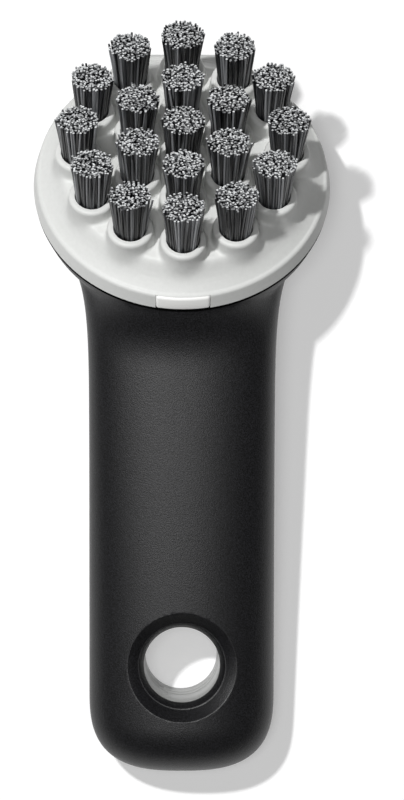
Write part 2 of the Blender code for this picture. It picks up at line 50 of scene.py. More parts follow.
scene = bpy.context.scene
clearance = 0.0003  # left between pieces that fit together
bury = 0.001  # overlap of shapes that are joined or cut
atOrigin = Matrix.Identity(4)
cutter = {  # how far the cutting tools reach past the head
    "radius": 0.05,
    "high": 0.04,
    "low": -0.02,
}


# Nodes, materials and meshes

def linearColour(code):
    # A hex colour as it looks, in the linear values that shaders take.
    channels = [int(code[i:i + 2], 16) / 255 for i in (1, 3, 5)]
    return [c / 12.92 if c <= 0.04045 else ((c + 0.055) / 1.055) ** 2.4 for c in channels] + [1.0]


def addNode(tree, kind, values={}, links={}, **settings):
    node = tree.nodes.new(kind)
    for name, value in settings.items():
        setattr(node, name, value)
    for name, value in values.items():
        node.inputs[name].default_value = value
    for name, source in links.items():
        tree.links.new(source, node.inputs[name])
    return node


def newMaterial(name, **values):
    # The values are sockets of the shader, in small letters with underscores.
    material = bpy.data.materials.new(name)
    material.use_nodes = True
    shader = material.node_tree.nodes["Principled BSDF"]
    for label, value in values.items():
        socket = label.replace("_", " ").title().replace("Ior", "IOR")
        shader.inputs[socket].default_value = value
    return material, material.node_tree, shader


def newPiece(name, mesh):
    piece = bpy.data.objects.new(name, mesh)
    scene.collection.objects.link(piece)
    return piece


def applyModifiers(piece):
    bpy.context.view_layer.update()
    graph = bpy.context.evaluated_depsgraph_get()
    mesh = bpy.data.meshes.new_from_object(piece.evaluated_get(graph))
    piece.modifiers.clear()
    piece.data = mesh


def lofted(name, rings, place=None):
    # Joins rings of equally many points; a ring of one point is a pole.
    shape = bmesh.new()
    made = [[shape.verts.new(point) for point in ring] for ring in rings]
    for ring, after in zip(made, made[1:]):
        count = max(len(ring), len(after))
        for i in range(count):
            j = (i + 1) % count
            corners = [
                ring[i % len(ring)],
                after[i % len(after)],
                after[j % len(after)],
                ring[j % len(ring)],
            ]
            shape.faces.new(dict.fromkeys(corners))
    for ring in (made[0], made[-1]):
        if len(ring) > 1:
            shape.faces.new(ring)
    bmesh.ops.recalc_face_normals(shape, faces=shape.faces)
    if place:
        shape.transform(place)
    mesh = bpy.data.meshes.new(name)
    shape.to_mesh(mesh)
    shape.free()
    return newPiece(name, mesh)


def circle(radius, height, steps):
    # A radius of nought is a pole.
    if radius < 1e-9:
        return [(0, 0, height)]
    angles = [2 * math.pi * i / steps for i in range(steps)]
    return [(radius * math.cos(a), radius * math.sin(a), height) for a in angles]


def turned(name, profile, place, steps):
    # A profile of (radius, height) turned about Z.
    return lofted(name, [circle(*corner, steps) for corner in profile], place)


def cylinder(name, radius, high, low, place, steps):
    return turned(name, [(0, high), (radius, high), (radius, low), (0, low)], place, steps)


def ringTurned(name, profile, place, steps):
    # A closed section turned about Z, clear of the axis.
    shape = bmesh.new()
    rings = [[shape.verts.new(point) for point in circle(*corner, steps)] for corner in profile]
    for ring, after in zip(rings, rings[1:] + rings[:1]):
        for i in range(steps):
            j = (i + 1) % steps
            shape.faces.new((ring[i], after[i], after[j], ring[j]))
    bmesh.ops.recalc_face_normals(shape, faces=shape.faces)
    shape.transform(place)
    mesh = bpy.data.meshes.new(name)
    shape.to_mesh(mesh)
    shape.free()
    return newPiece(name, mesh)


def combine(piece, tools, operation):
    for tool in tools:
        modifier = piece.modifiers.new(operation, "BOOLEAN")
        modifier.operation = operation
        modifier.solver = "EXACT"
        modifier.object = tool
        applyModifiers(piece)
        bpy.data.objects.remove(tool)


def meltTogether(piece, voxel, passes, keep, soft=None, softPasses=0):
    # Remeshes the joined shapes as one moulding and softens the inner corners. Each
    # point goes back to the surface as drawn by the share keep(point), and the corners
    # that soft(point) picks are softened much further.
    drawn = BVHTree.FromObject(piece, bpy.context.evaluated_depsgraph_get())
    remesh = piece.modifiers.new("Remesh", "REMESH")
    remesh.mode = "VOXEL"
    remesh.voxel_size = voxel
    smooth = piece.modifiers.new("Smooth", "SMOOTH")
    smooth.factor = 0.5
    smooth.iterations = passes
    applyModifiers(piece)
    group = piece.vertex_groups.new(name="soft")
    for vertex in piece.data.vertices:
        softness = soft(vertex.co) if soft else 0
        share = keep(vertex.co) * (1 - softness)
        if softness > 0:
            group.add([vertex.index], softness, "REPLACE")
        if share > 0:
            vertex.co = vertex.co.lerp(drawn.find_nearest(vertex.co)[0], share)
    if soft:
        smooth = piece.modifiers.new("Smooth", "SMOOTH")
        smooth.factor = 0.5
        smooth.iterations = softPasses
        smooth.vertex_group = "soft"
        applyModifiers(piece)
    piece.vertex_groups.clear()


def shadeSoft(piece, angle=35):
    piece.data.shade_smooth()
    piece.data.set_sharp_from_angle(angle=math.radians(angle))


def dress(piece, slot, material, *nodes):
    piece.data.materials.clear()
    piece.data.materials.append(material)
    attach(piece, "root")
    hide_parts(*nodes)


def smoothStep(t):
    t = min(max(t, 0), 1)
    return t * t * (3 - 2 * t)


def squircle(t, power):
    return (1 - min(max(t, 0), 1) ** power) ** (1 / power)


def roundedCorner(centre, radius, start, end, count):
    step = (end - start) / (count - 1)
    angles = [math.radians(start + step * i) for i in range(count)]
    return [(centre[0] + radius * math.cos(a), centre[1] + radius * math.sin(a)) for a in angles]


# The two frames that the CAD is drawn in, found again from the anchors

def boxCentre(node):
    low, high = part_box(node)
    return (low + high) / 2


head = {
    "bend": math.radians(38.2),  # plate's plane against the handle's
    "distance": 0.12541,  # hang hole's axis to the plate's centre
    "lift": 0.00911,  # crest plane above the handle's underside
    "anchorHeight": 0.0038,  # anchors' middles above the crest plane
}

across = boxCentre("anchor_outer_07") - boxCentre("anchor_outer_01")
tilt = math.atan2(across.z, across.y)
headPlace = Matrix.Translation(boxCentre("anchor_centre")) @ Matrix.Rotation(tilt, 4, "X")
headPlace = headPlace @ Matrix.Translation((0, 0, -head["anchorHeight"]))
headInBrush = Matrix.Translation((0, head["distance"], head["lift"]))
headInBrush = headInBrush @ Matrix.Rotation(-head["bend"], 4, "X")
brushPlace = headPlace @ headInBrush.inverted()
print("head tilts", round(math.degrees(tilt), 2), "degrees")


# Bristle plate

plate = {
    "radius": 0.0381,
    "rimTop": 0.0374,
    "rimHeight": 0.0045,
    "rimRounding": 0.0009,
    "seamGap": 0.0013,
    "crest": 0.0363,
    "plateau": 0.0312,
    "plateauHeight": 0.006,
    "ceiling": 0.0006,
    "skirtWall": 0.0034,
    "socketStand": 0.0044,
    "socketRadius": 0.0059,
    "socketRounding": 0.0009,
    "socketFlare": 0.0004,
    "socketBore": 0.00425,
    "socketDepth": 0.0078,
    "rings": ((0.0, 1), (0.0133, 6), (0.0266, 12)),
    "boreBreak": 0.00015,  # the broken edge of each bore's mouth
    "boreBreakDepth": 0.0003,
    "voxel": 0.00036,
}
socketMouth = plate["plateauHeight"] + plate["socketStand"]
seam = -plate["rimHeight"] - plate["seamGap"]


def socketPlaces():
    for ring, (radius, count) in zip(("centre", "inner", "outer"), plate["rings"]):
        for i in range(count):
            turn = 2 * math.pi * i / count
            label = ring if count == 1 else f"{ring}_{i + 1:02d}"
            yield label, radius * math.sin(turn), -radius * math.cos(turn)


def plateProfile():
    # Closed below the foot of the rim; the underside is cut afterwards.
    run = plate["crest"] - plate["plateau"]
    top = plate["plateauHeight"]
    below = plate["rimHeight"] + bury
    lean = (plate["radius"] - plate["rimTop"]) / (plate["rimHeight"] - plate["rimRounding"])
    dish = (  # share of the run outwards, share of the plateau's height
        (0.03, 0.87),
        (0.08, 0.775),
        (0.16, 0.675),
        (0.28, 0.535),
        (0.45, 0.37),
        (0.63, 0.235),
        (0.82, 0.11),
    )
    crest = []
    for i in range(9):
        angle = math.radians(90 - 11.25 * i)
        across = (plate["rimTop"] - plate["crest"]) * math.cos(angle)
        crest.append((plate["crest"] + across, -plate["rimRounding"] * (1 - math.sin(angle))))
    return [
        (0, top),
        (plate["plateau"] - 0.0013, top),
        (plate["plateau"] - 0.0007, 0.985 * top),
        (plate["plateau"] - 0.0003, 0.95 * top),
        *[(plate["plateau"] + across * run, up * top) for across, up in dish],
        *crest,
        (plate["radius"] + lean * bury, -below),
        (0, -below),
    ]


def socketProfile():
    rounding = plate["socketRounding"]
    corner = (plate["socketRadius"] - rounding, socketMouth - rounding)
    foot = plate["plateauHeight"]
    return [
        (0, socketMouth),
        *roundedCorner(corner, rounding, 90, 0, 7),
        (plate["socketRadius"] + 0.3 * plate["socketFlare"], foot + 0.0013),
        (plate["socketRadius"] + plate["socketFlare"], foot - 0.0006),
        (plate["socketRadius"] + plate["socketFlare"], 0.0012),
        (0, 0.0012),
    ]


scraper = {
    "reach": 0.0402,
    "edgeWidth": 0.0246,
    "rootWidth": 0.033,
    "drop": 0.0027,
    "edgeThickness": 0.0009,
    "step": 0.0005,
    "bevel": 0.0024,
    "overlap": 0.0006,  # into the skirt's wall
    "relief": 0.0002,  # underside above the foot of the rim
}


def scraperLip():
    # A wedge across the far edge, narrowing to a straight scraping edge.
    root = plate["radius"] - plate["skirtWall"] + scraper["overlap"]
    under = -plate["rimHeight"] + scraper["relief"]
    halfRoot = scraper["rootWidth"] / 2
    halfEdge = scraper["edgeWidth"] / 2
    rootWide = math.sqrt(plate["radius"] ** 2 - halfRoot ** 2)
    section = [
        (root, -scraper["step"]),
        (scraper["reach"] - scraper["bevel"], -scraper["step"]),
        (scraper["reach"], -scraper["drop"]),
        (scraper["reach"], -scraper["drop"] - scraper["edgeThickness"]),
        (plate["radius"], under),
        (root, under),
    ]

    def halfAt(y):
        t = (y - rootWide) / (scraper["reach"] - rootWide)
        return halfRoot + (halfEdge - halfRoot) * max(t, 0)

    rings = []
    for side in (-1, -0.5, 0, 0.5, 1):
        rings.append([(side * halfAt(y), y, z) for y, z in section])
    lip = lofted("scraperLip", rings)
    bevel = lip.modifiers.new("Bevel", "BEVEL")
    bevel.width = 0.0003
    bevel.segments = 3
    bevel.limit_method = "ANGLE"
    applyModifiers(lip)
    return lip


tab = {
    "width": 0.0138,
    "height": 0.0041,
    "thickness": 0.0015,
    "proud": 0.0003,
    "rounding": 0.0007,
    "fit": 0.00003,  # play in its notch
}


def tabBlock(name, grow=0):
    # The tab's body, or with some growth the notch in the rim that it fills.
    past = bury if grow else 0
    lean = plate["radius"] - plate["rimTop"]
    outer = plate["radius"] + tab["proud"] + past
    inner = plate["radius"] + tab["proud"] - tab["thickness"] - grow
    top = tab["height"] - plate["rimHeight"] + grow
    bottom = -plate["rimHeight"] - past
    half = tab["width"] / 2 + grow
    rings = []
    for i in range(17):
        x = half * (i / 8 - 1)
        corners = ((outer, bottom), (outer - lean, top), (inner - lean, top), (inner, bottom))
        rings.append([(x, -math.sqrt(reach ** 2 - x ** 2), z) for reach, z in corners])
    return lofted(name, rings)


socketSpots = list(socketPlaces())
melt = {
    "slopeReach": 0.0076,  # the open slope starts this far from a socket's axis
    "slopeBlend": 0.0012,
    "collarHeight": 0.0018,  # the collars start this far above the plateau
    "collarBlend": 0.0008,
    "rimReach": 0.0345,
    "rimBlend": 0.0012,
    "softInner": 0.0303,  # the ring in which the corners are softest
    "softInnerBlend": 0.0014,
    "softOuter": 0.0354,
    "softOuterBlend": 0.001,
    "softDepth": 0.0014,  # below the sockets' mouths
    "softDepthBlend": 0.001,
    "softReach": 0.0092,  # from a socket's axis
    "softReachBlend": 0.0012,
}


def fromSocket(point):
    return min(math.hypot(point.x - x, point.y - y) for _, x, y in socketSpots)


def plateKeep(point):
    # The rim, the collars and the open slope stay as drawn.
    reach = math.hypot(point.x, point.y)
    away = smoothStep((fromSocket(point) - melt["slopeReach"]) / melt["slopeBlend"])
    above = point.z - plate["plateauHeight"] - melt["collarHeight"]
    rim = smoothStep((reach - melt["rimReach"]) / melt["rimBlend"])
    return max(away, smoothStep(above / melt["collarBlend"]), rim)


def plateSoft(point):
    # The outer sockets run down into the dished slope in a wide, soft corner.
    reach = math.hypot(point.x, point.y)
    share = smoothStep((reach - melt["softInner"]) / melt["softInnerBlend"])
    share *= smoothStep((melt["softOuter"] - reach) / melt["softOuterBlend"])
    share *= smoothStep((socketMouth - melt["softDepth"] - point.z) / melt["softDepthBlend"])
    return share * smoothStep((melt["softReach"] - fromSocket(point)) / melt["softReachBlend"])


plateShape = turned("bristlePlate", plateProfile(), atOrigin, 360)
bosses = []
for _, x, y in socketSpots:
    bosses.append(turned("boss", socketProfile(), Matrix.Translation((x, y, 0)), 64))
combine(plateShape, bosses, "UNION")
meltTogether(plateShape, plate["voxel"], 3, plateKeep, plateSoft, 200)
skirtInside = plate["radius"] - plate["skirtWall"]
foot = -plate["rimHeight"]
hollowProfile = [
    (0, plate["ceiling"]),
    (skirtInside, plate["ceiling"]),
    (skirtInside, foot),
    (cutter["radius"], foot),
    (cutter["radius"], cutter["low"]),
    (0, cutter["low"]),
]
hollow = turned("hollow", hollowProfile, atOrigin, 128)
combine(plateShape, [hollow], "DIFFERENCE")
combine(plateShape, [scraperLip()], "UNION")
cutters = [tabBlock("notch", tab["fit"])]
bore = plate["socketBore"]
socketFloor = socketMouth - plate["socketDepth"]
boreProfile = [
    (0, socketMouth + bury),
    (bore + plate["boreBreak"] + bury, socketMouth + bury),
    (bore + plate["boreBreak"], socketMouth),
    (bore + 0.00004, socketMouth - 0.00012),
    (bore, socketMouth - plate["boreBreakDepth"]),
    (bore, socketFloor),
    (0, socketFloor),
]
for _, x, y in socketSpots:
    cutters.append(turned("bore", boreProfile, Matrix.Translation((x, y, 0)), 48))
combine(plateShape, cutters, "DIFFERENCE")
plateShape.data.transform(headPlace)
shadeSoft(plateShape, 40)
print("bristle plate made with", len(plateShape.data.polygons), "faces")

tabShape = tabBlock("snapTab")
tabBevel = tabShape.modifiers.new("Bevel", "BEVEL")
tabBevel.width = tab["rounding"]
tabBevel.segments = 5
tabBevel.limit_method = "ANGLE"
tabBevel.angle_limit = math.radians(40)
applyModifiers(tabShape)
tabShape.data.transform(headPlace)
shadeSoft(tabShape)


# Grip: the handle and the cup under the plate, in one soft moulding

grip = {
    "halfWidth": 0.02385,
    "height": 0.0245,
    "endDistance": 0.0287,
    "endRounding": 0.021,
    "endEdgeRounding": 0.013,
    "endSquareness": 2.85,
    "topCrown": 2.2,
    "undersideCrown": 2.8,
    "scoopLength": 0.016,
    "rimDistance": 0.0925,  # hang hole's axis to the seam's near end
    "neckThinning": 0.0014,
    "flare": 0.0012,  # what each side gains where the plate's rim starts
    "flareLength": 0.0083,
    "flareEnd": 0.0075,
    "tongueLength": 0.036,  # how far the handle runs on under the cup
    "tongueNarrowing": 0.84,
    "tongueDrop": 0.00953,
    "archRise": 0.0028,
    "archDistance": 0.085,
    "cupRadius": 0.0374,
    "cupDepth": 0.0084,
    "cupSlope": 0.175,
    "cupBand": 0.0018,
    "cupTaper": 0.0001,
    "cupRoundness": 1.8,
    "softNeck": 0.019,  # the soft corner starts this far before the seam's near end
    "softNeckBlend": 0.006,
    "softCup": 0.004,  # and ends this far before the middle of the cup
    "softCupBlend": 0.008,
    "recessDepth": 0.004,  # deeper than the cup's far floor, which it cuts open below
    "lipRadius": 0.03792,  # raised lip that closes the seam under the rim
    "lipRootInset": 0.0004,
    "lipWidth": 0.002,
    "lipRoot": 0.0007,  # buried in the cup's wall
    "lipGap": 0.0002,
    "lipFarShrink": 0.03,  # drawn in at the far side, clear of the floor
    "lipFarBlend": 0.025,
    "voxel": 0.0007,
}
hole = {
    "radius": 0.0098,
    "mouth": 0.0141,
    "step": 0.0114,  # foot of the cone
    "stepDepth": 0.0033,
    "stepWidth": 0.0003,
    "throat": 0.0054,  # depth at which the liner starts
    "edgeRounding": 0.0006,
    "edgeLift": 0.00004,
    "eyeWall": 0.0028,
}


def seamPoint(x):
    side = min(abs(x), 0.9 * plate["radius"])
    return headInBrush @ Vector((0, -math.sqrt(plate["radius"] ** 2 - side ** 2), seam))


def handleRing(y, inset, count):
    capStart = grip["endRounding"] - grip["endDistance"]
    end = inset - grip["endDistance"]
    rim = grip["rimDistance"]
    tongueEnd = rim + grip["tongueLength"]
    flare = grip["flare"] * math.exp(min(y - rim, grip["flareEnd"]) / grip["flareLength"])
    wide = grip["halfWidth"] + flare - inset
    wide *= squircle((capStart - y) / (capStart - end), grip["endSquareness"])
    closing = (y - rim - grip["flareEnd"]) / (tongueEnd - rim - grip["flareEnd"])
    wide *= squircle(grip["tongueNarrowing"] * closing, 2.2)
    thin = squircle(1 - (y - end) / grip["endEdgeRounding"], 2.2)
    fall = max(y - grip["archDistance"], 0) / (tongueEnd - grip["archDistance"])
    bottom = grip["archRise"] * smoothStep(y / grip["archDistance"])
    bottom = bottom - grip["tongueDrop"] * fall ** 2.2 + inset
    top = grip["height"] - grip["neckThinning"] * min(max(y / rim, 0), 1) - inset
    middle = (top + bottom) / 2
    if wide < 1e-6 or thin < 1e-6:
        return [(0, y, middle)]
    ring = []
    for i in range(count):
        angle = 2 * math.pi * i / count
        c, s = math.cos(angle), math.sin(angle)
        crown = grip["topCrown"] if s >= 0 else grip["undersideCrown"]
        x = math.copysign(wide * abs(c) ** (2 / crown), c)
        up = abs(s) ** (2 / crown)
        z = middle + math.copysign((top - middle) * thin * up, s)
        if s > 0:
            z = scooped(x, y, z, up, inset)
        ring.append((x, y, z))
    return ring


def scooped(x, y, crownZ, up, inset):
    # Lifts the handle's face in a concave sweep that meets the plate's round rim.
    rim = seamPoint(x)
    distance = rim.y - y
    share = smoothStep((up - 0.45) / 0.45)
    if distance >= 0:
        rise = max((rim.z - clearance - inset - crownZ) * share, 0)
        return crownZ + rise * max(1 - distance / grip["scoopLength"], 0) ** 2.6
    line = seamPoint(0)
    buried = line.z - (y - line.y) * math.tan(head["bend"]) - inset - clearance
    buried += 0.6 * bury * smoothStep(-distance / (4 * bury))
    return crownZ + (buried - crownZ) * share


def handleShape(name, inset, fine):
    capStart = grip["endRounding"] - grip["endDistance"]
    end = inset - grip["endDistance"]
    rim = grip["rimDistance"]
    rings = []
    capSteps = 14 * fine
    for i in range(capSteps):
        s = math.sin(math.radians(90 - 90 * i / capSteps)) ** (2 / grip["endSquareness"])
        rings.append(capStart - s * (capStart - end))
    stop = rim + grip["tongueLength"] - 0.0005
    steps = 40 * fine
    rings += [capStart + (stop - capStart) * i / steps for i in range(steps + 1)]
    return lofted(name, [handleRing(y, inset, 40 * fine) for y in rings], brushPlace)


def cupShape(name, inset, top, steps):
    radius = grip["cupRadius"] - inset
    profile = [(0, top), (radius, top)]
    for i in range(13):
        drop = math.sin(math.radians(7.5 * i))
        below = grip["cupBand"] + (grip["cupDepth"] - grip["cupBand"]) * drop
        reach = (radius - grip["cupTaper"]) * squircle(drop, grip["cupRoundness"])
        profile.append((reach, seam - below))
    cup = turned(name, profile, atOrigin, steps)
    for vertex in cup.data.vertices:
        below = seam - vertex.co.z
        if below > 0:
            slope = 1 - grip["cupSlope"] * vertex.co.y / grip["cupDepth"]
            vertex.co.z = seam - below * slope + inset * below / grip["cupDepth"]
    cup.data.transform(headPlace)
    return cup


def gripKeep(point):
    # Only the corner where the handle runs into the cup is left soft.
    place = brushPlace.inverted() @ point
    spot = headPlace.inverted() @ point
    before = grip["rimDistance"] - grip["softNeck"] - place.y
    handle = smoothStep(before / grip["softNeckBlend"])
    far = smoothStep((spot.y + grip["softCup"]) / grip["softCupBlend"])
    return max(handle, far)


def holeProfile():
    # The mouth's rounded edge, the cone, a narrow step and the steep throat.
    above = grip["height"]
    cone = math.atan2(hole["stepDepth"], hole["mouth"] - hole["step"])
    r = hole["edgeRounding"]
    edge = hole["mouth"] + r * math.tan(cone / 2)
    high = above + hole["edgeLift"]
    mouth = []
    for i in range(6):
        turn = cone * i / 5
        mouth.append((edge - r * math.sin(turn), high - r * (1 - math.cos(turn))))
    step = above - hole["stepDepth"]
    return [
        (0, above + 0.004),
        (edge + 0.0012, above + 0.004),
        (edge + 0.0012, above + 0.0002),
        *mouth,
        (hole["step"] + 0.00012, step + 0.00015),
        (hole["step"], step + 0.00004),
        (hole["step"] - 0.00006, step),
        (hole["step"] - hole["stepWidth"], step - 0.00002),
        (hole["step"] - hole["stepWidth"] - 0.00008, step - 0.0001),
        (hole["radius"] + 0.00002, above - hole["throat"]),
        (hole["radius"] + 0.00002, above - hole["throat"] - 0.0002),
        (hole["radius"] + hole["eyeWall"], above - hole["throat"] - 0.0002),
        (hole["radius"] + hole["eyeWall"], -0.001),
        (0, -0.001),
    ]


def faceDrop(x, y):
    # How far the handle's face lies below its highest level round the hang hole.
    top = grip["height"] - grip["neckThinning"] * max(y, 0) / grip["rimDistance"]
    middle = (top + grip["archRise"] * smoothStep(y / grip["archDistance"])) / 2
    crown = squircle(abs(x) / grip["halfWidth"], grip["topCrown"])
    return grip["height"] - middle - (top - middle) * crown


gripShape = handleShape("softGrip", 0, 3)
combine(gripShape, [cupShape("cup", 0, seam + bury, 240)], "UNION")
meltTogether(gripShape, grip["voxel"], 4, gripKeep)
seatTool = cylinder("seat", cutter["radius"], cutter["high"], seam, headPlace, 96)
plugTool = cylinder("plug", skirtInside, bury, seam - grip["recessDepth"], headPlace, 96)
holeTool = turned("hangHole", holeProfile(), atOrigin, 160)
for vertex in holeTool.data.vertices:
    # The mouth follows the handle's crown, so it stays round.
    share = (vertex.co.z - grip["height"] + hole["stepDepth"]) / hole["stepDepth"]
    vertex.co.z -= faceDrop(vertex.co.x, vertex.co.y) * min(max(share, 0), 1)
holeTool.data.transform(brushPlace)
combine(gripShape, [seatTool, plugTool, holeTool], "DIFFERENCE")
lipTop = -plate["rimHeight"] - grip["lipGap"]
lipInner = grip["lipRadius"] - grip["lipWidth"]
lipProfile = [
    (lipInner, seam - grip["lipRoot"]),
    (grip["cupRadius"] - grip["lipRootInset"], seam - grip["lipRoot"]),
    (grip["lipRadius"], seam),
    (grip["lipRadius"], lipTop),
    (lipInner, lipTop),
]
lip = ringTurned("lip", lipProfile, atOrigin, 240)
for vertex in lip.data.vertices:
    far = smoothStep(vertex.co.y / grip["lipFarBlend"])
    vertex.co.x *= 1 - grip["lipFarShrink"] * far
    vertex.co.y *= 1 - grip["lipFarShrink"] * far
lip.data.transform(headPlace)
combine(gripShape, [lip], "UNION")
shadeSoft(gripShape, 40)
print("soft grip made with", len(gripShape.data.polygons), "faces")


# Core: the CAD solid, merged and shaded smooth; it shows as the hole's liner

def mergedCopy(name, node):
    shape = bmesh.new()
    shape.from_mesh(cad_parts[node].data)
    bmesh.ops.remove_doubles(shape, verts=shape.verts, dist=0.00001)
    mesh = bpy.data.meshes.new(name)
    shape.to_mesh(mesh)
    shape.free()
    return newPiece(name, mesh)


liner = {
    "topRadius": 0.0098,
    "footRadius": 0.0093,
    "wall": 0.0026,
    "top": 0.01885,
    "foot": 0.0006,
    "grooves": (0.0062, 0.0093),  # heights of two shallow turned lines
    "grooveDepth": 0.00012,
    "grooveFlat": 0.0003,  # from a groove's middle
    "grooveEdge": 0.0007,
    "edgeBreak": 0.0003,
}


def linerProfile():
    # A drafted bore with two shallow lines round it and a broken upper edge.
    high, low = liner["top"], liner["foot"]
    outer = liner["topRadius"] + liner["wall"]

    flat, edge, deep = liner["grooveFlat"], liner["grooveEdge"], liner["grooveDepth"]

    def drafted(z):
        draft = liner["topRadius"] - liner["footRadius"]
        return liner["footRadius"] + draft * (z - low) / (high - low)

    inside = []
    for z in liner["grooves"]:
        for offset, depth in ((-edge, 0), (-flat, deep), (flat, deep), (edge, 0)):
            inside.append((drafted(z) + depth, z + offset))
    return [
        (outer, low),
        (drafted(low), low),
        *inside,
        (drafted(high - liner["edgeBreak"]), high - liner["edgeBreak"]),
        (drafted(high) + 0.00008, high - 0.00008),
        (drafted(high) + liner["edgeBreak"], high),
        (outer, high),
    ]


coreShape = mergedCopy("coreWithLiner", "handle_core")
eyeRadius = liner["topRadius"] + liner["wall"] - 0.0001
combine(coreShape, [cylinder("eye", eyeRadius, 0.03, -0.005, brushPlace, 96)], "DIFFERENCE")
combine(coreShape, [ringTurned("liner", linerProfile(), brushPlace, 96)], "UNION")
shadeSoft(coreShape, 30)


# Bristles: strands on a spiral of points, spreading towards cut tips

bristles = {
    "count": 235,
    "turn": 2.399963,  # golden angle from each strand to the next
    "stray": 0.00008,  # each root's distance from its place
    "tuftTurn": 2.4,  # from each tuft to the next
    "rootRadius": 0.0039,  # outermost strand's distance from the tuft's axis
    "spread": 0.066,  # outermost strand's lean, as a slope
    "scatter": 0.016,  # random lean, as a slope
    "fanAcross": 0.075,  # the anchor's wire makes the tips fan out across the head
    "fanAlong": -0.11,  # and less along it
    "length": 0.0152,
    "dome": 0.0005,  # middle strands longer than the outer ones
    "lengthScatter": 0.00022,
    "strandRadius": 0.00027,  # at the cut end, which is a little thicker
    "shaft": 0.8,  # thickness of the strand against its cut end
    "bend": 0.0003,
    "rootDepth": 0.0012,  # roots below the socket's mouth
}


